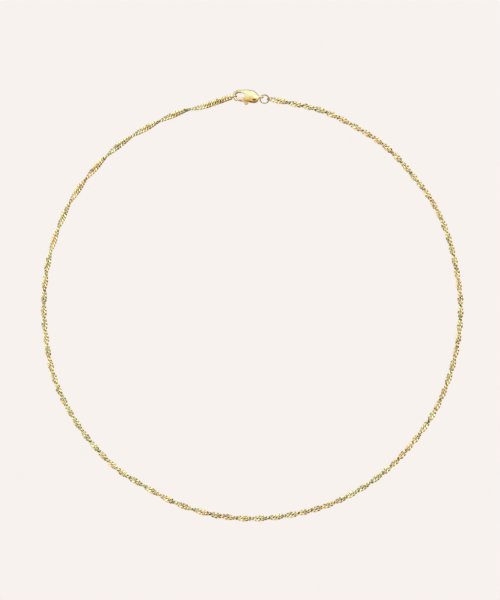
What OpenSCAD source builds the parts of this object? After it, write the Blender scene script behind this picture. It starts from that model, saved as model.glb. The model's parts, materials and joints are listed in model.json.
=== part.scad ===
/* [Chain] */
// Length of the closed necklace, clasp included
necklace_length = 450; // [400:10:500]
// Width of the chain across its twisted links
chain_w = 2; // [1.4:0.1:2.6]

/* [Rings] */
// Wire of the jump ring on the clasp's tail
jump_wire = 0.46; // [0.4:0.02:0.56]
// Outside diameter of the jump ring
jump_d = 3.46; // [3.3:0.02:3.6]
// Tilt of the jump ring, whose near edge lies on the surface, in degrees
jump_tilt = 26; // [22:1:28]
// Wire of the end ring that the hook holds
end_wire = 0.4; // [0.36:0.02:0.42]
// Outside diameter of the end ring
end_d = 2.6; // [2.6:0.02:2.64]

/* [Clasp] */
// Thickness of the clasp at its middle
clasp_t = 2.6; // [2.4:0.1:2.8]
// Radius of the claw's bend, measured at the middle of its wire
claw_r = 1.58; // [1.56:0.01:1.6]
// Wall of the tail eye
eye_wall = 0.46; // [0.42:0.01:0.48]
// Hole of the tail eye
eye_hole_d = 1.16; // [1.12:0.01:1.24]
// Thickness of the lever
lever_t = 1; // [0.8:0.05:1.1]
// Diameter of the rivet that the lever turns on
rivet_d = 0.6; // [0.5:0.05:0.7]
// Travel of the lever from closed to open, in degrees
lever_swing = 18; // [10:1:20]

/* [Hidden] */
chain_gold = [0.90, 0.77, 0.46];
clasp_gold = [0.94, 0.83, 0.55];

// The route is that of a necklace 450 mm long, and grows or shrinks with its length.
route_scale = necklace_length / 450;

// Clasp: the rivet's place in the part, and the clasp's mid height above the surface
rivet_x = -0.75;
rivet_y = 70.85 * route_scale;
clasp_z = clasp_t / 2;

// Jump ring and end ring: their centres measured from the rivet. The end ring hangs in the claw's bend,
// with its centre a little outside the middle of the hook's wire.
jump_at = [4.95, -0.3];
jump_z = jump_wire / 2 + (jump_d - jump_wire) / 2 * sin(jump_tilt);
end_bearing = 189;
end_outside = 0.28;
claw_centre = [-3.78, 0.72];
end_from_claw = claw_r + end_outside;
end_at = claw_centre + end_from_claw * [cos(end_bearing), sin(end_bearing)];
end_z = end_d / 2;
ring_sides = 64;

// Clearances: pieces beside each other, the lever in its slot, the rivet in the body and in the lever
piece_gap = 0.15;
slot_gap = 0.06;
rivet_body_gap = 0.02;
rivet_lever_gap = 0.04;

// Route of the chain, clockwise from the jump ring to the end ring, seen from above.
// Each row is a bearing in degrees and a distance in mm from the middle of the loop.
// The chain starts a little below the rivet's height in the view and ends a little above it.
start_below = 0.4;
end_above = 0.15;
route_start = [rivet_x + jump_at[0] + jump_d / 2 + piece_gap, rivet_y - start_below];
route_rows = [
    [80, 70.4], [70, 70.7], [60, 70.5], [50, 70.9], [40, 70.6], [30, 71.0], [20, 71.0], [10, 70.8],
    [0, 71.2], [-10, 71.3], [-20, 71.6], [-30, 72.0], [-40, 72.1], [-50, 72.5], [-60, 72.8],
    [-70, 72.9], [-80, 72.7], [-90, 72.8], [-100, 72.7], [-110, 72.4], [-120, 71.9], [-130, 72.4],
    [-140, 72.2], [-150, 72.1], [-160, 72.0], [-170, 71.4], [-180, 71.2], [-190, 71.3], [-200, 71.3],
    [-210, 71.5], [-220, 71.3], [-230, 71.2], [-240, 70.6], [-250, 70.5], [-255, 70.0], [-260, 70.6]
];
route_end = [rivet_x + end_at[0] - end_d / 2 - piece_gap, rivet_y + end_above];
route = concat(
    [route_start],
    [for (row = route_rows) row[1] * route_scale * [cos(row[0]), sin(row[0])]],
    [route_end]
);

// Tube: eight flats that touch a circle as wide as the chain, and one ring every 2.8 widths or so
tube_sides = 8;
tube_r = chain_w / 2 / cos(180 / tube_sides);
rings_a_side = 39;
// The halves meet at the row at the front of the loop, with this share of a span between them on each side
front_row = 18;
half_joint = 0.004;
span_step = 0.01;

// Claw: rows of the hook from its tip to the body, each a bearing round the claw's centre,
// half the width, and half the thickness
hook_rows = [
    [246, 0.22, 0.26], [240, 0.34, 0.38], [231, 0.41, 0.45], [218, 0.45, 0.49], [204, 0.48, 0.52],
    [188, 0.50, 0.54], [170, 0.52, 0.57], [152, 0.52, 0.60], [134, 0.52, 0.63], [116, 0.52, 0.67],
    [98, 0.52, 0.71]
];
// Body: rows from the hook to the tail, each a distance from the rivet, the lower edge, the upper edge,
// and the thickness as a share of the clasp's
body_rows = [
    [-3.6, 1.77, 2.82, 0.56], [-3.3, 1.68, 2.83, 0.58], [-3.0, -0.60, 2.84, 0.62],
    [-2.4, -1.15, 2.88, 0.74], [-1.6, -1.34, 2.90, 0.88], [-0.8, -1.46, 2.90, 0.97],
    [0.0, -1.56, 2.85, 1.00], [0.8, -1.65, 2.70, 0.98], [1.4, -1.68, 2.46, 0.93],
    [1.9, -1.60, 2.12, 0.85], [2.3, -1.42, 1.74, 0.75], [2.65, -1.10, 1.36, 0.64],
    [2.86, -0.74, 1.06, 0.55], [2.98, -0.36, 0.86, 0.46]
];
section_sides = 24;

// Tail eye: its middle measured from the rivet, its width across, and its turn about the upright
eye_at = [3.6, 0.34];
eye_w = 0.66;
eye_turn = -6;

// Mouth of the claw: the cut that opens the body above and in front of the lever
mouth_right = -2;
mouth_top = 1.765;
mouth_bottom = 0.04;
mouth_r = (mouth_top - mouth_bottom) / 2;
mouth_centre = [-2.5, (mouth_top + mouth_bottom) / 2];
mouth_left = -3.66;
mouth_low = -3;

// Lever: the hub on the rivet, the arm that closes the mouth, and the thumb nub below
hub_r = 0.75;
hub_clear = 0.25;
slot_r = hub_r + hub_clear;
slot_reach = 3.1;
arm_clear_angle = 16;
slot_top_bearing = 180 - lever_swing - arm_clear_angle;
slot_low_bearing = 258;
lever_arm = [
    [-0.25, 0.62], [-0.8, 0.25], [-1.9, 0.0], [-3.0, -0.08], [-3.9, -0.1], [-4.1, -0.2],
    [-4.2, -0.38], [-4.17, -0.62], [-4.0, -0.84], [-3.6, -1.02], [-2.8, -1.16], [-1.9, -1.2], [-0.6, -0.55]
];
nub_at = [-1.3, -1.58];
nub_r = 0.72;
nub_root = [-0.5, -0.6];
nub_foot = [-2.05, -1.05];

// The rivet's heads are flush with the curved cheeks, so it is this much shorter than the clasp is thick
rivet_short = 0.1;

// Recess in each cheek behind the rivet
recess = [[0.5, -0.14], [2.26, -0.14], [1.9, -0.62], [1.42, -0.94], [0.95, -0.66]];
recess_floor = 0.75;

// A point on the smooth curve through a list of points, at u spans from the first one
function curve_at(points, u) =
    let (
        last = len(points) - 1,
        i = max(0, min(floor(u), last - 1)),
        f = u - i,
        p1 = points[i],
        p2 = points[i + 1],
        p0 = i > 0 ? points[i - 1] : 2 * p1 - p2,
        p3 = i + 1 < last ? points[i + 2] : 2 * p2 - p1
    )
    0.5 * (2 * p1 + (p2 - p0) * f + (2 * p0 - 5 * p1 + 4 * p2 - p3) * f ^ 2
        + (3 * p1 - p0 - 3 * p2 + p3) * f ^ 3);

// A ring of points across the route, at u spans from its start
function tube_ring(u) =
    let (
        at = curve_at(route, u),
        way = curve_at(route, u + span_step) - curve_at(route, u - span_step),
        side = [-way[1], way[0]] / norm(way)
    )
    [for (k = [0 : tube_sides - 1])
        let (bearing = (k + 0.5) * 360 / tube_sides)
        [at[0] + tube_r * cos(bearing) * side[0], at[1] + tube_r * cos(bearing) * side[1],
            chain_w / 2 + tube_r * sin(bearing)]];

// Points of an arc, from one bearing to another
function arc(centre, r, from, to, steps) =
    [for (k = [0 : steps])
        let (bearing = from + (to - from) * k / steps)
        centre + r * [cos(bearing), sin(bearing)]];

// A closed skin over rings of points that all run the same way round
module skin(rings) {
    sides = len(rings[0]);
    points = [for (ring = rings) each ring];
    first_cap = [for (k = [0 : sides - 1]) k];
    last_cap = [for (k = [sides - 1 : -1 : 0]) (len(rings) - 1) * sides + k];
    walls = [for (i = [0 : len(rings) - 2], k = [0 : sides - 1])
        let (a = i * sides + k, b = i * sides + (k + 1) % sides)
        each [[a, a + sides, b], [b, a + sides, b + sides]]];
    polyhedron(points = points, faces = concat([first_cap, last_cap], walls), convexity = 6);
}

// A ring of round wire that lies flat round the upright
module wire_ring(outside_d, wire_d) {
    rotate_extrude($fn = ring_sides)
        translate([(outside_d - wire_d) / 2, 0])
            circle(d = wire_d, $fn = 32);
}

// Everything on the clasp is drawn from the rivet, at the clasp's mid height
module on_clasp() {
    translate([rivet_x, rivet_y, clasp_z])
        children();
}

module half_chain(from_u, to_u) {
    color(chain_gold)
        skin([for (i = [0 : rings_a_side - 1]) tube_ring(from_u + (to_u - from_u) * i / (rings_a_side - 1))]);
}

module chain_right() {
    half_chain(0, front_row - half_joint);
}

module chain_left() {
    half_chain(front_row + half_joint, len(route) - 1);
}

module jump_ring() {
    color(chain_gold)
        translate([rivet_x + jump_at[0], rivet_y + jump_at[1], jump_z])
            rotate([jump_tilt, 0, 0])
                wire_ring(jump_d, jump_wire);
}

module end_ring() {
    color(chain_gold)
        translate([rivet_x + end_at[0], rivet_y + end_at[1], end_z])
            rotate([90, 0, end_bearing])
                wire_ring(end_d, end_wire);
}

// The casting from the hook's tip to the tail, as oval sections across its run
module casting() {
    bearings = [for (k = [0 : section_sides - 1]) k * 360 / section_sides];
    hook_rings = [for (row = hook_rows)
        [for (b = bearings)
            let (at = claw_centre + (claw_r + row[1] * cos(b)) * [cos(row[0]), sin(row[0])])
            [at[0], at[1], row[2] * sin(b)]]];
    body_rings = [for (row = body_rows)
        let (mid = (row[1] + row[2]) / 2, half = (row[2] - row[1]) / 2)
        [for (b = bearings)
            [row[0], mid + half * cos(b), row[3] * clasp_t / 2 * sin(b)]]];
    skin(concat(hook_rings, body_rings));
}

module tail_eye() {
    translate([eye_at[0], eye_at[1], 0])
        rotate([90, 0, eye_turn])
            rotate_extrude($fn = ring_sides)
                polygon([for (p = arc([0, 0], 1, 15, 345, 11))
                    [eye_hole_d / 2 + eye_wall / 2 + eye_wall / 2 * p[0], eye_w / 2 * p[1]]]);
}

// The space in front of the body that the claw opens into
module mouth() {
    below = [[mouth_left, mouth_low], [mouth_right, mouth_low]];
    rounded_end = arc(mouth_centre, mouth_r, -46, 90, 12);
    linear_extrude(height = 2 * clasp_t, center = true)
        polygon(concat(below, rounded_end, [[mouth_left, mouth_top]]));
}

module lever_slot() {
    hub_side = arc([0, 0], slot_r, slot_low_bearing - 360, slot_top_bearing, 24);
    open_side = arc([0, 0], slot_reach, slot_top_bearing, slot_low_bearing, 12);
    linear_extrude(height = lever_t + 2 * slot_gap, center = true)
        polygon(concat(hub_side, open_side));
}

module clasp_body() {
    color(clasp_gold)
        on_clasp()
            difference() {
                union() {
                    difference() {
                        casting();
                        mouth();
                        lever_slot();
                        for (side = [0, 1])
                            mirror([0, 0, side])
                                translate([0, 0, recess_floor])
                                    linear_extrude(height = clasp_t)
                                        polygon(recess);
                    }
                    tail_eye();
                }
                cylinder(h = 2 * clasp_t, d = rivet_d + 2 * rivet_body_gap, center = true, $fn = 48);
            }
}

module clasp_lever() {
    color(clasp_gold)
        on_clasp()
            difference() {
                union() {
                    cylinder(h = lever_t, r = hub_r, center = true, $fn = 48);
                    linear_extrude(height = lever_t, center = true)
                        polygon(lever_arm);
                    linear_extrude(height = lever_t, center = true)
                        polygon(concat([nub_root, nub_foot], arc(nub_at, nub_r, 180, 360, 12)));
                }
                cylinder(h = 2 * lever_t, d = rivet_d + 2 * rivet_lever_gap, center = true, $fn = 48);
            }
}

module clasp_rivet() {
    color(clasp_gold)
        on_clasp()
            cylinder(h = clasp_t - rivet_short, d = rivet_d, center = true, $fn = 48);
}

chain_right();
chain_left();
jump_ring();
end_ring();
clasp_body();
clasp_lever();
clasp_rivet();
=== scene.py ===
import json
import math
from bisect import bisect_right

import bmesh
import bpy
from mathutils import Matrix, Vector


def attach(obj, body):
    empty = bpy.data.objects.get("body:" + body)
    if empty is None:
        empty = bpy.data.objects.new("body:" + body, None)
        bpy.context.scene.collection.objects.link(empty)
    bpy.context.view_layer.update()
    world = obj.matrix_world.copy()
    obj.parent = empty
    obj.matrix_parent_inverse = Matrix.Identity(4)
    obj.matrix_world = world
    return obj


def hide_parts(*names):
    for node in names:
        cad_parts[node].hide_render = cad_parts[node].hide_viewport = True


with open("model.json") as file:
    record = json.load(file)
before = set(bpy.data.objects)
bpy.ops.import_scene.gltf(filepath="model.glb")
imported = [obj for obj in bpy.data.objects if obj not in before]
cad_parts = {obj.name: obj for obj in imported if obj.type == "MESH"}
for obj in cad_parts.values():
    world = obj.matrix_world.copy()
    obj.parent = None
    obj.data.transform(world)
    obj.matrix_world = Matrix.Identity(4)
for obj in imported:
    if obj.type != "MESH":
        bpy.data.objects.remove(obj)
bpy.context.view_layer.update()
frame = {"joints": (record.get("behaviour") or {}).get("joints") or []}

scene = bpy.context.scene
mm = 0.001


# Camera
# The necklace lies flat and is seen from straight above. The picture's long side takes in
# about 205 mm of the surface, and its middle lies a little above the middle of the loop.
view_height = 1000 * mm
view_long_side = 205.2 * mm
view_middle = Vector((-0.76, 1.9, 0)) * mm

camera = bpy.data.objects.new("camera", bpy.data.cameras.new("camera"))
camera.data.lens = camera.data.sensor_width * view_height / view_long_side
camera.data.clip_end = 10 * view_height
camera.location = view_middle + Vector((0, 0, view_height))
scene.collection.objects.link(camera)
scene.camera = camera
scene.view_settings.view_transform = "Standard"


# Chain
# One fine chain of twisted curb links in yellow gold wire, each hooked through its neighbours. A
# link is bent into a saddle, so that it locks flat into the others, and its high places are
# diamond cut, with faces that lean outwards. The band turns over again and again on its way.
link_length = 1.80 * mm
link_width = 2.1 * mm
link_wire = 0.42 * mm
link_saddle = 0.3 * mm
link_squareness = 0.92
link_pressed = 0.4
link_cut = 0.34 * mm
link_cut_lean = 0.3
link_cut_middle = 0.74 * mm
facing_inwards = -0.6
link_pitch = 0.92 * mm
link_sides = 16
wire_sides = 6
chain_height = 1.05 * mm

# The clasp and both rings are measured from the clasp's rivet, where the lever's joint is.
rivet = Vector(frame["joints"][0]["pos_m"])
jump_wire = 0.42 * mm
jump_outside = 3.46 * mm
jump_tilt = math.radians(26)
jump_from_rivet = (4.95 * mm, -0.3 * mm)
jump_middle = Vector((rivet.x + jump_from_rivet[0], rivet.y + jump_from_rivet[1], 0))
jump_middle.z = jump_wire / 2 + (jump_outside - jump_wire) / 2 * math.sin(jump_tilt)
end_wire = 0.4 * mm
end_outside = 2.6 * mm
end_bearing = math.radians(189)
claw_middle = Vector((-3.78, 0.72, 0)) * mm
end_from_claw = 1.86 * mm
end_way = Vector((math.cos(end_bearing), math.sin(end_bearing), 0))
end_middle = Vector((rivet.x, rivet.y, end_outside / 2)) + claw_middle + end_from_claw * end_way

# Route, clockwise from the jump ring to the end ring: a bearing in degrees and a distance from
# the middle of the loop in mm. The first and the last link hang on the rings.
route_rows = [
    (80, 70.4), (70, 70.7), (60, 70.5), (50, 70.9), (40, 70.6), (30, 71.0), (20, 71.0), (10, 70.8),
    (0, 71.2), (-10, 71.3), (-20, 71.6), (-30, 72.0), (-40, 72.1), (-50, 72.5), (-60, 72.8),
    (-70, 72.9), (-80, 72.7), (-90, 72.8), (-100, 72.7), (-110, 72.4), (-120, 71.9), (-130, 72.4),
    (-140, 72.2), (-150, 72.1), (-160, 72.0), (-170, 71.4), (-180, 71.2), (-190, 71.3),
    (-200, 71.3), (-210, 71.5), (-220, 71.3), (-230, 71.2), (-240, 70.6), (-250, 70.5),
    (-255, 70.0), (-260, 70.6),
]
link_inside = link_length / 2 - link_wire
jump_play = 0.07 * mm
end_play = 0.06 * mm
first_height = 0.965 * mm
first_link = Vector((
    jump_middle.x + (jump_outside - jump_wire) / 2 - jump_wire / 2 + link_inside - jump_play,
    jump_middle.y, first_height))
last_link = end_middle + (end_outside / 2 - end_wire + link_inside - end_play) * end_way
last_link.z = chain_height
route = [first_link]
for bearing, distance in route_rows:
    around = math.radians(bearing)
    route.append(Vector((distance * mm * math.cos(around), distance * mm * math.sin(around), chain_height)))
route.append(last_link)


def on_curve(points, span):
    """The point at so many spans along the smooth curve through the points."""
    last = len(points) - 1
    i = max(0, min(math.floor(span), last - 1))
    f = span - i
    p1, p2 = points[i], points[i + 1]
    p0 = points[i - 1] if i > 0 else 2 * p1 - p2
    p3 = points[i + 2] if i + 1 < last else 2 * p2 - p1
    return 0.5 * (
        2 * p1 + (p2 - p0) * f + (2 * p0 - 5 * p1 + 4 * p2 - p3) * f ** 2
        + (3 * p1 - p0 - 3 * p2 + p3) * f ** 3)


steps_a_span = 40
fine_points = [on_curve(route, k / steps_a_span) for k in range((len(route) - 1) * steps_a_span + 1)]
fine_lengths = [0.0]
for before, after in zip(fine_points, fine_points[1:]):
    fine_lengths.append(fine_lengths[-1] + (after - before).length)


def on_route(distance):
    """The point at a distance along the route from its first link."""
    k = min(max(bisect_right(fine_lengths, distance), 1), len(fine_points) - 1)
    share = (distance - fine_lengths[k - 1]) / (fine_lengths[k] - fine_lengths[k - 1])
    return fine_points[k - 1].lerp(fine_points[k], share)


# Where the chain shows its flat side from above, in mm along it from the jump ring. It makes
# half a turn between each two. The first and last places lie past its ends.
flat_places = [
    -6.3, 3.5, 9.3, 13.4, 17.4, 21.6, 26.0, 31.2, 35.6, 39.6, 44.2, 48.8, 53.2, 57.4, 61.2,
    65.0, 69.0, 73.2, 77.2, 81.8, 85.8, 89.8, 93.8, 98.2, 102.8, 107.4, 111.8, 116.4, 120.8,
    125.8, 130.4, 135.8, 140.6, 144.4, 148.8, 154.2, 157.8, 161.4, 164.8, 168.8, 173.0, 179.0,
    183.6, 187.4, 192.2, 196.4, 200.8, 204.8, 210.4, 216.0, 221.6, 227.2, 231.0, 236.0, 242.8,
    248.4, 254.8, 261.4, 266.6, 271.0, 275.4, 279.8, 284.2, 289.6, 294.4, 298.6, 302.8, 306.8,
    311.4, 316.4, 320.8, 325.6, 330.0, 334.8, 340.0, 346.2, 354.6, 363.0, 373.6, 383.0, 394.8,
    405.2, 416.0, 428.0, 476.0,
]


def turn_at(distance):
    """How far the band has turned over at a distance along the chain, in radians."""
    place = distance / mm
    k = min(max(bisect_right(flat_places, place), 1), len(flat_places) - 1)
    share = (place - flat_places[k - 1]) / (flat_places[k] - flat_places[k - 1])
    return (k - 1 + share) * math.pi


def link_mesh():
    """One closed link about the origin, along X: its cut faces are in slot 1, and its inner ones, which get
    painted shade, in slot 2.
    """
    link = bmesh.new()
    round_radius = (link_width - link_wire) / 2
    half_length = (link_length - link_wire) / 2
    half_width = (link_width - (1 + link_pressed) * link_wire) / 2
    bmesh.ops.create_circle(
        link, segments=wire_sides, radius=link_wire / 2,
        matrix=Matrix.Translation((round_radius, 0, 0)) @ Matrix.Rotation(math.radians(90), 4, "X")
        @ Matrix.Rotation(math.pi / wire_sides, 4, "Z"))
    bmesh.ops.spin(
        link, geom=link.verts[:] + link.edges[:], cent=(0, 0, 0), axis=(0, 0, 1),
        angle=math.tau, steps=link_sides, use_merge=True)
    cut_verts = set()
    for vert in link.verts:
        around = math.atan2(vert.co.y, vert.co.x)
        along, across = math.cos(around), math.sin(around)
        outwards = (math.hypot(vert.co.x, vert.co.y) - round_radius) * (1 + link_pressed * across ** 2)
        vert.co.x = half_length * math.copysign(abs(along) ** link_squareness, along) + outwards * along
        vert.co.y = half_width * math.copysign(abs(across) ** link_squareness, across) + outwards * across
        # The saddle lifts two corners of the link and lowers the other two. Each is cut to a face
        # that leans outwards.
        vert.co.z -= link_saddle * math.sin(2 * around)
        towards_high = abs(vert.co.x - vert.co.y) / math.sqrt(2)
        towards_low = abs(vert.co.x + vert.co.y) / math.sqrt(2)
        highest = link_cut - link_cut_lean * (towards_high - link_cut_middle)
        lowest = link_cut_lean * (towards_low - link_cut_middle) - link_cut
        if not lowest <= vert.co.z <= highest:
            vert.co.z = max(lowest, min(highest, vert.co.z))
            cut_verts.add(vert)
    bmesh.ops.recalc_face_normals(link, faces=link.faces)
    for face in link.faces:
        face.smooth = True
        from_middle = face.calc_center_median() * Vector((1, 1, 0))
        # Faces that look into the link's hole go to slot 2, the painted shade.
        if face.normal.dot(from_middle.normalized()) < facing_inwards:
            face.material_index = 2
        if cut_verts.issuperset(face.verts):
            face.material_index = 1
            for edge in face.edges:
                edge.smooth = False
    mesh = bpy.data.meshes.new("link")
    link.to_mesh(mesh)
    link.free()
    return mesh


plain_link = link_mesh()
route_length = fine_lengths[-1]
link_count = round(route_length / link_pitch) + 1
links = bmesh.new()
for k in range(link_count):
    distance = route_length * k / (link_count - 1)
    middle = on_route(distance)
    way = on_route(min(distance + link_pitch, route_length)) - on_route(max(distance - link_pitch, 0))
    heading = math.atan2(way.y, way.x)
    one = plain_link.copy()
    one.transform(
        Matrix.Translation(middle) @ Matrix.Rotation(heading, 4, "Z")
        @ Matrix.Rotation(turn_at(distance), 4, "X"))
    links.from_mesh(one)
    bpy.data.meshes.remove(one)


def as_object(name, made):
    """Turns a finished bmesh into an object of the scene, at the origin."""
    mesh = bpy.data.meshes.new(name)
    made.to_mesh(mesh)
    made.free()
    thing = bpy.data.objects.new(name, mesh)
    scene.collection.objects.link(thing)
    return thing


def add_piece(name, made, body, nodes, materials):
    """Puts a finished bmesh in the scene as a piece that rides on a body and stands for its nodes."""
    piece = as_object(name, made)
    for material in materials:
        piece.data.materials.append(material)
    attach(piece, body)
    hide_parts(*nodes)


# Worn gold is never quite even: its tone drifts slowly, patches of it take a darker patina, and
# wiping leaves fine scratches.
tone_low = 0.43
tone_high = 0.58
patina_distortion = 0.4
patina_edge = 0.14
wiping_turn = math.radians(35)
scratch_stretch = (1, 9, 1)
scratch_roughness = 0.7


def build_wear_group():
    """A shader group for the drift of tone, the patina and the scratches, all fixed to the piece."""
    group = bpy.data.node_groups.new("gold_wear", "ShaderNodeTree")
    for name in ("Tone Size", "Patina Size", "Patina Start", "Scratch Size"):
        group.interface.new_socket(name, in_out="INPUT", socket_type="NodeSocketFloat")
    for name in ("Tone", "Patina", "Scratch"):
        group.interface.new_socket(name, in_out="OUTPUT", socket_type="NodeSocketFloat")
    nodes, join = group.nodes, group.links.new
    entry = nodes.new("NodeGroupInput")
    leave = nodes.new("NodeGroupOutput")
    place = nodes.new("ShaderNodeTexCoord")
    tone = nodes.new("ShaderNodeTexNoise")
    tone.inputs["Detail"].default_value = 3
    tone_spread = nodes.new("ShaderNodeMapRange")
    tone_spread.inputs["From Min"].default_value = tone_low
    tone_spread.inputs["From Max"].default_value = tone_high
    patina = nodes.new("ShaderNodeTexNoise")
    patina.inputs["Detail"].default_value = 2
    patina.inputs["Distortion"].default_value = patina_distortion
    patina_end = nodes.new("ShaderNodeMath")
    patina_end.operation = "ADD"
    patina_end.inputs[1].default_value = patina_edge
    patina_spread = nodes.new("ShaderNodeMapRange")
    stretch = nodes.new("ShaderNodeMapping")
    stretch.inputs["Rotation"].default_value = (0, 0, wiping_turn)
    stretch.inputs["Scale"].default_value = scratch_stretch
    scratch = nodes.new("ShaderNodeTexNoise")
    scratch.inputs["Detail"].default_value = 4
    scratch.inputs["Roughness"].default_value = scratch_roughness
    join(place.outputs["Object"], tone.inputs["Vector"])
    join(entry.outputs["Tone Size"], tone.inputs["Scale"])
    join(tone.outputs["Fac"], tone_spread.inputs["Value"])
    join(tone_spread.outputs["Result"], leave.inputs["Tone"])
    join(place.outputs["Object"], patina.inputs["Vector"])
    join(entry.outputs["Patina Size"], patina.inputs["Scale"])
    join(entry.outputs["Patina Start"], patina_end.inputs[0])
    join(patina.outputs["Fac"], patina_spread.inputs["Value"])
    join(entry.outputs["Patina Start"], patina_spread.inputs["From Min"])
    join(patina_end.outputs["Value"], patina_spread.inputs["From Max"])
    join(patina_spread.outputs["Result"], leave.inputs["Patina"])
    join(place.outputs["Object"], stretch.inputs["Vector"])
    join(stretch.outputs["Vector"], scratch.inputs["Vector"])
    join(entry.outputs["Scratch Size"], scratch.inputs["Scale"])
    join(scratch.outputs["Fac"], leave.inputs["Scratch"])
    return group


wear_group = build_wear_group()


def gold(
        name, light, deep, dark, smooth, worn, tone_size, patina_size, patina_start, scratch_size,
        scratch_depth, painted=None):
    """A polished gold: two tones that drift into each other, dark patina, and fine scratches.

    Where the piece is painted with a number, another colour and roughness take over."""
    material = bpy.data.materials.new(name)
    material.use_nodes = True
    nodes, join = material.node_tree.nodes, material.node_tree.links.new
    shader = nodes["Principled BSDF"]
    shader.inputs["Metallic"].default_value = 1.0
    wear = nodes.new("ShaderNodeGroup")
    wear.node_tree = wear_group
    wear.inputs["Tone Size"].default_value = tone_size
    wear.inputs["Patina Size"].default_value = patina_size
    wear.inputs["Patina Start"].default_value = patina_start
    wear.inputs["Scratch Size"].default_value = scratch_size
    tint = nodes.new("ShaderNodeMix")
    tint.data_type = "RGBA"
    tint.inputs["A"].default_value = (*light, 1)
    tint.inputs["B"].default_value = (*deep, 1)
    stain = nodes.new("ShaderNodeMix")
    stain.data_type = "RGBA"
    stain.inputs["B"].default_value = (*dark, 1)
    sheen = nodes.new("ShaderNodeMapRange")
    sheen.inputs["To Min"].default_value = smooth
    sheen.inputs["To Max"].default_value = worn
    bump = nodes.new("ShaderNodeBump")
    bump.inputs["Distance"].default_value = scratch_depth
    bump.inputs["Strength"].default_value = 0.5
    join(wear.outputs["Tone"], tint.inputs["Factor"])
    join(tint.outputs["Result"], stain.inputs["A"])
    join(wear.outputs["Patina"], stain.inputs["Factor"])
    join(stain.outputs["Result"], shader.inputs["Base Color"])
    join(wear.outputs["Scratch"], sheen.inputs["Value"])
    join(sheen.outputs["Result"], shader.inputs["Roughness"])
    if painted:
        number, other_colour, other_roughness = painted
        mask = nodes.new("ShaderNodeAttribute")
        mask.attribute_name = number
        colours = nodes.new("ShaderNodeMix")
        colours.data_type = "RGBA"
        colours.inputs["B"].default_value = (*other_colour, 1)
        finishes = nodes.new("ShaderNodeMix")
        finishes.inputs["B"].default_value = other_roughness
        join(mask.outputs["Fac"], colours.inputs["Factor"])
        join(stain.outputs["Result"], colours.inputs["A"])
        join(colours.outputs["Result"], shader.inputs["Base Color"])
        join(mask.outputs["Fac"], finishes.inputs["Factor"])
        join(sheen.outputs["Result"], finishes.inputs["A"])
        join(finishes.outputs["Result"], shader.inputs["Roughness"])
    join(wear.outputs["Scratch"], bump.inputs["Height"])
    join(bump.outputs["Normal"], shader.inputs["Normal"])
    return material


link_gold = gold(
    "link_gold", light=(0.94, 1.0, 0.59), deep=(1.0, 0.89, 0.50), dark=(0.34, 0.30, 0.08),
    smooth=0.05, worn=0.18, tone_size=75, patina_size=640, patina_start=0.48, scratch_size=3000,
    scratch_depth=0.01 * mm)
cut_gold = gold(
    "cut_gold", light=(0.98, 0.93, 0.56), deep=(0.97, 0.80, 0.44), dark=(0.5, 0.38, 0.16),
    smooth=0.03, worn=0.08, tone_size=110, patina_size=520, patina_start=0.5, scratch_size=4000,
    scratch_depth=0.002 * mm)
# The faces inside a link get a dark painted shade, for the shade that falls between the links, and a duller
# finish.
shaded_inner_gold = gold(
    "shaded_inner_gold", light=(0.37, 0.37, 0.11), deep=(0.41, 0.33, 0.1), dark=(0.1, 0.08, 0.02),
    smooth=0.2, worn=0.45, tone_size=75, patina_size=520, patina_start=0.46, scratch_size=3000,
    scratch_depth=0.01 * mm)
add_piece(
    "chain", links, "necklace", ("chain_right", "chain_left"),
    (link_gold, cut_gold, shaded_inner_gold))


# Jump ring and end ring
# Two rings bent from round drawn gold wire, each closed end to end with a hairline seam. The
# larger one joins the tail eye to the chain, and the claw holds the smaller one on edge.
ring_steps = 96
ring_wire_sides = 20
ring_seam = 0.03 * mm
ring_seam_bevel = 0.03 * mm


def wire_ring(outside, wire, seam_bearing):
    """A ring of round wire that lies flat about the origin, with a seam at a bearing in degrees."""
    ring = bmesh.new()
    radius = (outside - wire) / 2
    seam = ring_seam / radius
    bmesh.ops.create_circle(
        ring, cap_ends=True, segments=ring_wire_sides, radius=wire / 2,
        matrix=Matrix.Translation((radius, 0, 0)) @ Matrix.Rotation(math.radians(90), 4, "X"))
    bmesh.ops.spin(
        ring, geom=ring.faces[:], cent=(0, 0, 0), axis=(0, 0, 1), angle=math.tau - seam,
        steps=ring_steps, use_merge=False)
    bmesh.ops.recalc_face_normals(ring, faces=ring.faces)
    for face in ring.faces:
        face.smooth = len(face.verts) == 4
    ends = [edge for edge in ring.edges if any(len(face.verts) > 4 for face in edge.link_faces)]
    bmesh.ops.bevel(
        ring, geom=ends, offset=ring_seam_bevel, offset_type="OFFSET", segments=2, profile=0.5,
        affect="EDGES", material=-1)
    bmesh.ops.transform(ring, matrix=Matrix.Rotation(math.radians(seam_bearing), 4, "Z"), verts=ring.verts)
    return ring


ring_gold = gold(
    "ring_gold", light=(0.54, 0.51, 0.32), deep=(0.46, 0.41, 0.26), dark=(0.24, 0.2, 0.12),
    smooth=0.12, worn=0.28, tone_size=300, patina_size=700, patina_start=0.5, scratch_size=2500,
    scratch_depth=0.004 * mm)

jump_ring = wire_ring(jump_outside, jump_wire, seam_bearing=-52)
bmesh.ops.transform(
    jump_ring, verts=jump_ring.verts,
    matrix=Matrix.Translation(jump_middle) @ Matrix.Rotation(jump_tilt, 4, "X"))
add_piece("jump_ring_wire", jump_ring, "necklace", ("jump_ring",), (ring_gold,))

end_ring = wire_ring(end_outside, end_wire, seam_bearing=40)
bmesh.ops.transform(
    end_ring, verts=end_ring.verts,
    matrix=Matrix.Translation(end_middle) @ Matrix.Rotation(end_bearing, 4, "Z")
    @ Matrix.Rotation(math.radians(90), 4, "X"))
add_piece("end_ring_wire", end_ring, "necklace", ("end_ring",), (ring_gold,))


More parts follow.
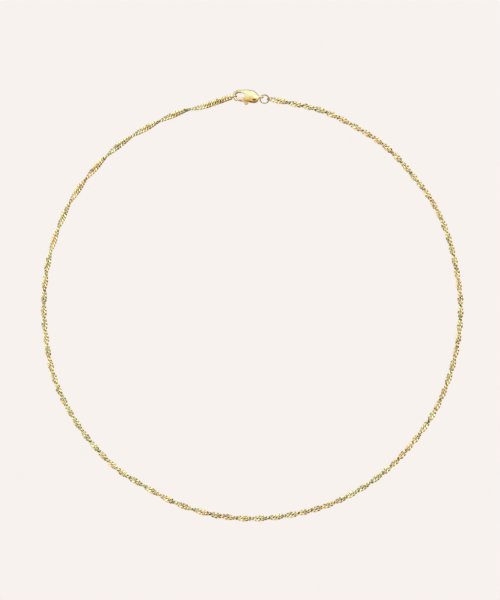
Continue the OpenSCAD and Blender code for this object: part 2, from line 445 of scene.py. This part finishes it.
# Clasp body
# One lost-wax casting in pale yellow gold: the hook, a body of two cheeks with the lever's slot
# between them, a recess in each cheek behind the rivet, and the upright eye at the tail. It is
# tumbled smooth, so that none of its edges is sharp. Its numbers are in mm, from the rivet.
clasp_thick = 2.6
claw_bend = 1.58
row_steps = 3
limb_sides = 40
# The hook's rows give a bearing round the claw, and half the width and thickness there. Those of
# its root and of the body give a place along the clasp, the low and the high edge there, and the
# share of the full thickness.
hook_rows = [
    (246, 0.22, 0.26), (240, 0.34, 0.38), (231, 0.41, 0.45), (218, 0.45, 0.49), (204, 0.48, 0.52),
    (188, 0.50, 0.54), (170, 0.52, 0.57), (152, 0.52, 0.60), (134, 0.52, 0.63), (116, 0.52, 0.67),
    (98, 0.52, 0.71),
]
root_rows = [
    (-3.6, 1.78, 2.82, 0.56), (-3.0, 1.74, 2.84, 0.57), (-2.3, 1.68, 2.84, 0.57),
    (-1.5, 1.62, 2.76, 0.52), (-0.8, 1.56, 2.60, 0.40),
]
body_rows = [
    (-3.0, -0.60, 2.84, 0.62), (-2.4, -1.15, 2.88, 0.74), (-1.6, -1.34, 2.90, 0.88),
    (-0.8, -1.47, 2.90, 0.97), (0.0, -1.57, 2.85, 1.00), (0.8, -1.66, 2.70, 0.98),
    (1.4, -1.70, 2.46, 0.93), (1.9, -1.62, 2.12, 0.85), (2.3, -1.44, 1.74, 0.75),
    (2.65, -1.12, 1.36, 0.64), (2.86, -0.76, 1.06, 0.55), (2.98, -0.38, 0.86, 0.46),
]


def hook_station(bearing, half_width, half_thick):
    """Middle, heading and half sizes of the hook at a bearing round the claw."""
    around = math.radians(bearing)
    x = claw_middle.x / mm + claw_bend * math.cos(around)
    y = claw_middle.y / mm + claw_bend * math.sin(around)
    return Vector((x, y, around - math.pi / 2, half_width, half_thick))


def body_station(along, low, high, share):
    """Middle, heading and half sizes of the body at a distance from the rivet."""
    return Vector((along, (low + high) / 2, 0, (high - low) / 2, share * clasp_thick / 2))


def between(stations):
    """More stations on a smooth curve through a few."""
    return [on_curve(stations, k / row_steps) for k in range((len(stations) - 1) * row_steps + 1)]


def section(station):
    """Puts a circle of radius 1 where the section lies, as wide and thick as it is."""
    x, y, heading, half_width, half_thick = station
    return (
        Matrix.Translation((x, y, 0)) @ Matrix.Rotation(heading, 4, "Z")
        @ Matrix(((0, 0, 1, 0), (half_width, 0, 0, 0), (0, half_thick, 0, 0), (0, 0, 0, 1))))


hook = between([hook_station(*row) for row in hook_rows] + [body_station(*row) for row in root_rows])
body = between([body_station(*row) for row in body_rows])
tip = []
tip_round = 0.16
tip_leans = (72, 50, 28, 12)
x, y, heading, half_width, half_thick = hook[0]
for lean in tip_leans:
    back = tip_round * math.sin(math.radians(lean))
    small = math.cos(math.radians(lean))
    tip.append(Vector((
        x - back * math.cos(heading), y - back * math.sin(heading), heading,
        half_width * small, half_thick * small)))


def limb(stations):
    """A closed skin of oval sections that is drawn out from station to station."""
    made = bmesh.new()
    bmesh.ops.create_circle(
        made, cap_ends=True, segments=limb_sides, radius=1, matrix=section(stations[0]))
    rim = made.edges[:]
    for before, after in zip(stations, stations[1:]):
        grown = bmesh.ops.extrude_edge_only(made, edges=rim)["geom"]
        rim = [new for new in grown if isinstance(new, bmesh.types.BMEdge) and len(new.link_faces) == 1]
        bmesh.ops.transform(
            made, matrix=section(after) @ section(before).inverted(),
            verts=[new for new in grown if isinstance(new, bmesh.types.BMVert)])
    bmesh.ops.edgeloop_fill(made, edges=rim)
    bmesh.ops.recalc_face_normals(made, faces=made.faces)
    return made


def arc(middle, radius, start, end, steps):
    """Points in mm on an arc from one bearing to another."""
    points = []
    for k in range(steps + 1):
        around = math.radians(start + (end - start) * k / steps)
        points.append((middle[0] + radius * math.cos(around), middle[1] + radius * math.sin(around)))
    return points


def slab(outline, low, high):
    """A flat outline given a thickness from one height to another."""
    made = bmesh.new()
    face = made.faces.new([made.verts.new((x, y, low)) for x, y in outline])
    grown = bmesh.ops.extrude_face_region(made, geom=[face])["geom"]
    bmesh.ops.translate(
        made, vec=(0, 0, high - low),
        verts=[new for new in grown if isinstance(new, bmesh.types.BMVert)])
    bmesh.ops.recalc_face_normals(made, faces=made.faces)
    return made


disc_sides = 48


def disc(radius, low, high):
    """A round slab about the rivet."""
    return slab(arc((0, 0), radius, 0, 360 - 360 / disc_sides, disc_sides - 1), low, high)


lever_swing = 18
arm_clear_angle = 16
slot_half = 0.56
slot_radius = 1.0
slot_reach = 3.1
slot_top = 180 - lever_swing - arm_clear_angle
slot_low = 258
recess_outline = [(0.5, -0.3), (2.26, -0.3), (1.92, -0.70), (1.42, -1.0), (0.94, -0.74)]
recess_floor = 0.75
bore_radius = 0.345
mouth_left = -3.66
mouth_low = -3
mouth_bend = (-2.5, 0.9025)
mouth_radius = 0.8625
mouth = slab(
    [(mouth_left, mouth_low), (-2, mouth_low)] + arc(mouth_bend, mouth_radius, -46, 90, 16)
    + [(mouth_left, mouth_bend[1] + mouth_radius)], -clasp_thick, clasp_thick)
lever_slot = slab(
    arc((0, 0), slot_radius, slot_low - 360, slot_top, 32)
    + arc((0, 0), slot_reach, slot_top, slot_low, 12), -slot_half, slot_half)
front_recess = slab(recess_outline, recess_floor, clasp_thick)
back_recess = slab(recess_outline, -clasp_thick, -recess_floor)
rivet_bore = disc(bore_radius, -clasp_thick, clasp_thick)

eye_middle = (3.6, 0.34, 0)
eye_hole = 1.16
eye_wall = 0.46
eye_width = 0.66
eye_turn = math.radians(-6)
eye_sides = 24
eye_steps = 64
tail_eye = bmesh.new()
bmesh.ops.create_circle(
    tail_eye, segments=eye_sides, radius=1,
    matrix=Matrix.Translation(((eye_hole + eye_wall) / 2, 0, 0))
    @ Matrix.Diagonal((eye_wall / 2, eye_width / 2, 1, 1)))
bmesh.ops.spin(
    tail_eye, geom=tail_eye.verts[:] + tail_eye.edges[:], cent=(0, 0, 0), axis=(0, 1, 0),
    angle=math.tau, steps=eye_steps, use_merge=True)
bmesh.ops.transform(
    tail_eye, verts=tail_eye.verts,
    matrix=Matrix.Translation(eye_middle) @ Matrix.Rotation(eye_turn, 4, "Z"))
bmesh.ops.recalc_face_normals(tail_eye, faces=tail_eye.faces)


def worked_mesh(thing):
    """The mesh of an object after its modifiers."""
    return bpy.data.meshes.new_from_object(thing.evaluated_get(bpy.context.evaluated_depsgraph_get()))


def mould(name, shell, cutters, soldered, grain, tumbling):
    """Cuts a closed shell, solders others to it, and rounds every edge as tumbling does."""
    blank = as_object(name, shell)
    tools = []
    for cutter in cutters:
        tools.append(as_object("tool", cutter))
        cut = blank.modifiers.new("cut", "BOOLEAN")
        cut.operation = "DIFFERENCE"
        cut.solver = "EXACT"
        cut.object = tools[-1]
    cut_mesh = worked_mesh(blank)
    whole = bmesh.new()
    whole.from_mesh(cut_mesh)
    for other in soldered:
        other_mesh = bpy.data.meshes.new("other")
        other.to_mesh(other_mesh)
        other.free()
        whole.from_mesh(other_mesh)
        bpy.data.meshes.remove(other_mesh)
    blank.modifiers.clear()
    whole.to_mesh(blank.data)
    whole.free()
    remesh = blank.modifiers.new("grain", "REMESH")
    remesh.mode = "VOXEL"
    remesh.voxel_size = grain
    remesh.use_smooth_shade = True
    smooth = blank.modifiers.new("tumbled", "SMOOTH")
    smooth.factor = 0.5
    smooth.iterations = tumbling
    done_mesh = worked_mesh(blank)
    done = bmesh.new()
    done.from_mesh(done_mesh)
    for tool in tools + [blank]:
        mesh = tool.data
        bpy.data.objects.remove(tool)
        bpy.data.meshes.remove(mesh)
    bpy.data.meshes.remove(cut_mesh)
    bpy.data.meshes.remove(done_mesh)
    for face in done.faces:
        face.smooth = True
    bmesh.ops.transform(done, matrix=Matrix.Translation(rivet) @ Matrix.Scale(mm, 4), verts=done.verts)
    return done


def paint(made, number, number_at):
    """Gives each vertex a number, from its place in mm from the rivet and its normal."""
    layer = made.verts.layers.float.new(number)
    made.normal_update()
    for vert in made.verts:
        vert[layer] = max(0.0, min(1.0, number_at((vert.co - rivet) / mm, vert.normal)))


# The recesses are painted dark brown and rougher: painted shade in the hollows.
recess_shade_colour = (0.2, 0.08, 0.02)
recess_shade_roughness = 0.45
recess_lip = 0.05
recess_fade = 0.06
recess_depth = 0.3
clasp_gold = gold(
    "clasp_gold", light=(0.71, 0.68, 0.41), deep=(0.65, 0.59, 0.31), dark=(0.45, 0.36, 0.18),
    smooth=0.1, worn=0.22, tone_size=260, patina_size=600, patina_start=0.62, scratch_size=2500,
    scratch_depth=0.002 * mm, painted=("painted_recess_shade", recess_shade_colour, recess_shade_roughness))


def in_recess(place, normal):
    """1 inside a recess's outline, 0 outside, and a soft edge between."""
    if abs(place.z) > recess_floor + recess_depth:
        return 0.0
    inside = []
    for (ax, ay), (bx, by) in zip(recess_outline, recess_outline[1:] + recess_outline[:1]):
        past = (by - ay) * (place.x - ax) - (bx - ax) * (place.y - ay)
        inside.append(past / math.hypot(bx - ax, by - ay))
    return (min(inside) + recess_lip) / recess_fade


clasp_body = mould(
    "clasp_body", limb(body), (mouth, lever_slot, front_recess, back_recess, rivet_bore),
    (limb(tip + hook), tail_eye), grain=0.04, tumbling=8)
# The painted shade goes into the recesses.
paint(clasp_body, "painted_recess_shade", in_recess)
add_piece("clasp_casting", clasp_body, "necklace", ("clasp_body",), (clasp_gold,))


# Clasp lever
# A flat cast lever between the cheeks, which the spring holds shut against the hook's tip. Its
# hub turns on the rivet, and the round nub below is what the thumb pulls. It too is in mm.
lever_half = 0.5
lever_hub = 0.75
# Each point of the arm's outline has a third number: how much of the bevel it takes. The bevel is on the
# edge towards the mouth. The tumbling turns its steps into one slope.
lever_arm = [
    (-0.25, 0.62, 0), (-0.8, 0.3, 0), (-1.9, 0.06, 0.6), (-3.0, 0.02, 1), (-3.9, -0.04, 1),
    (-4.1, -0.17, 1), (-4.2, -0.38, 0), (-4.17, -0.64, 0), (-4.0, -0.88, 0), (-3.6, -1.07, 0),
    (-2.8, -1.22, 0), (-1.9, -1.26, 0), (-0.6, -0.55, 0),
]
bevel_steps = [(-0.42, 0.5), (-0.3, 0.46), (-0.18, 0.41), (-0.06, 0.35), (0.06, 0.27), (0.14, 0.15)]
nub_middle = (-1.3, -1.58)
nub_radius = 0.72
nub_outline = [(-0.5, -0.6), (-2.05, -1.05)] + arc(nub_middle, nub_radius, 180, 360, 16)
lever_bore = 0.355
# Faces of the lever that turn towards +Y, where the light comes from, get a lighter painted highlight
# colour and a smoother finish.
painted_highlight_colour = (0.79, 0.6, 0.35)
lit_side_roughness = 0.14
lit_side_from = 0.08
lit_side_fade = 0.24
lever_gold = gold(
    "lever_gold", light=(0.55, 0.41, 0.24), deep=(0.48, 0.34, 0.2), dark=(0.28, 0.18, 0.11),
    smooth=0.2, worn=0.36, tone_size=220, patina_size=600, patina_start=0.56, scratch_size=2500,
    scratch_depth=0.004 * mm, painted=("painted_highlight", painted_highlight_colour, lit_side_roughness))
arm_steps = []
for shift, half in bevel_steps:
    arm_steps.append(slab([(x, y + shift * share) for x, y, share in lever_arm], -half, half))
clasp_lever = mould(
    "clasp_lever", disc(lever_hub, -lever_half, lever_half),
    (disc(lever_bore, -clasp_thick, clasp_thick),),
    (*arm_steps, slab(nub_outline, -lever_half, lever_half)), grain=0.03, tumbling=24)
# The painted highlight goes on the faces turned towards +Y.
paint(clasp_lever, "painted_highlight", lambda place, normal: (normal.y - lit_side_from) / lit_side_fade)
add_piece("lever_casting", clasp_lever, "lever", ("clasp_lever",), (lever_gold,))


# Clasp rivet
# A short gold pin through both cheeks and the lever's hub. Its ends are hammered into low domes
# and filed almost flush with the cheeks. It is in mm, as the clasp is.
rivet_radius = 0.3
rivet_half = 1.25
rivet_edge = 0.05
clasp_rivet = bmesh.new()
bmesh.ops.create_cone(
    clasp_rivet, cap_ends=True, segments=disc_sides, radius1=rivet_radius, radius2=rivet_radius,
    depth=2 * rivet_half)
caps = [face for face in clasp_rivet.faces if len(face.verts) > 4]
cap_edges = [edge for cap in caps for edge in cap.edges]
bmesh.ops.bevel(
    clasp_rivet, geom=cap_edges, offset=rivet_edge, offset_type="OFFSET", segments=4, profile=0.5,
    affect="EDGES", material=-1)
for face in clasp_rivet.faces:
    face.smooth = True
bmesh.ops.transform(
    clasp_rivet, matrix=Matrix.Translation(rivet) @ Matrix.Scale(mm, 4), verts=clasp_rivet.verts)
add_piece("rivet_pin", clasp_rivet, "necklace", ("clasp_rivet",), (clasp_gold,))


# Table
# A pale satin sheet, lit through from below as a light table is, so that the thin chain throws
# hardly any shadow on it. What the gold sees in it is the room, mirrored softly.
table_side = 3000 * mm
table_colour = (0.4, 0.38, 0.35)
table_roughness = 0.25
table_metallic = 0.9
table_glow_colour = (0.985, 0.932, 0.915)
table_glow_share = 0.9
table = bmesh.new()
bmesh.ops.create_grid(table, x_segments=1, y_segments=1, size=table_side / 2)
table_piece = as_object("table", table)
table_finish = bpy.data.materials.new("table_finish")
table_finish.use_nodes = True
nodes, join = table_finish.node_tree.nodes, table_finish.node_tree.links.new
table_shader = nodes["Principled BSDF"]
table_shader.inputs["Base Color"].default_value = (*table_colour, 1)
table_shader.inputs["Roughness"].default_value = table_roughness
table_shader.inputs["Metallic"].default_value = table_metallic
table_shader.inputs["Specular IOR Level"].default_value = 0.0
glow = nodes.new("ShaderNodeEmission")
glow.inputs["Color"].default_value = (*table_glow_colour, 1)
seen = nodes.new("ShaderNodeLightPath")
share = nodes.new("ShaderNodeMath")
share.operation = "MULTIPLY"
share.inputs[1].default_value = table_glow_share
both = nodes.new("ShaderNodeMixShader")
join(seen.outputs["Is Camera Ray"], share.inputs[0])
join(share.outputs["Value"], both.inputs["Fac"])
join(table_shader.outputs["BSDF"], both.inputs[1])
join(glow.outputs["Emission"], both.inputs[2])
join(both.outputs["Shader"], nodes["Material Output"].inputs["Surface"])
table_piece.data.materials.append(table_finish)


# Lights
# The room is a bright cool wall behind the clasp, which turns warm overhead and ends in dark wood
# in front. One soft box stands on the right of the camera.
light_way = Vector((-0.15, 0.84, 0.52)).normalized()
wall_strength = 1.17
wall_colours = [
    (0.0, (0.04, 0.02, 0.01)), (0.08, (0.12, 0.06, 0.025)), (0.2, (0.36, 0.22, 0.08)),
    (0.35, (0.9, 0.6, 0.26)), (0.48, (1.08, 0.76, 0.35)), (0.59, (1.18, 0.92, 0.53)),
    (0.68, (1.14, 1.0, 0.7)), (0.76, (1.1, 1.06, 0.9)), (0.86, (1.15, 1.15, 1.25)),
    (1.0, (1.3, 1.3, 1.45)),
]
lamp_place = (0.9, 0.3, 1.0)
lamp_width = 500 * mm
lamp_height = 900 * mm
lamp_power = 3
lamp_colour = (1.0, 0.98, 0.94)
room = bpy.data.worlds.new("room")
room.use_nodes = True
nodes, join = room.node_tree.nodes, room.node_tree.links.new
look = nodes.new("ShaderNodeTexCoord")
towards = nodes.new("ShaderNodeVectorMath")
towards.operation = "DOT_PRODUCT"
towards.inputs[1].default_value = light_way
spread = nodes.new("ShaderNodeMapRange")
spread.inputs["From Min"].default_value = -1
wall = nodes.new("ShaderNodeValToRGB")
ramp = wall.color_ramp
while len(ramp.elements) < len(wall_colours):
    ramp.elements.new(0.5)
for element, (position, colour) in zip(ramp.elements, wall_colours):
    element.position = position
    element.color = (*colour, 1)
join(look.outputs["Generated"], towards.inputs[0])
join(towards.outputs["Value"], spread.inputs["Value"])
join(spread.outputs["Result"], wall.inputs["Fac"])
join(wall.outputs["Color"], nodes["Background"].inputs["Color"])
nodes["Background"].inputs["Strength"].default_value = wall_strength
scene.world = room

soft_box = bpy.data.lights.new("side", "AREA")
soft_box.shape = "RECTANGLE"
soft_box.size = lamp_width
soft_box.size_y = lamp_height
soft_box.energy = lamp_power
soft_box.color = lamp_colour
lamp = bpy.data.objects.new("side", soft_box)
lamp.location = lamp_place
lamp.rotation_euler = (-Vector(lamp_place)).to_track_quat("-Z", "Y").to_euler()
scene.collection.objects.link(lamp)
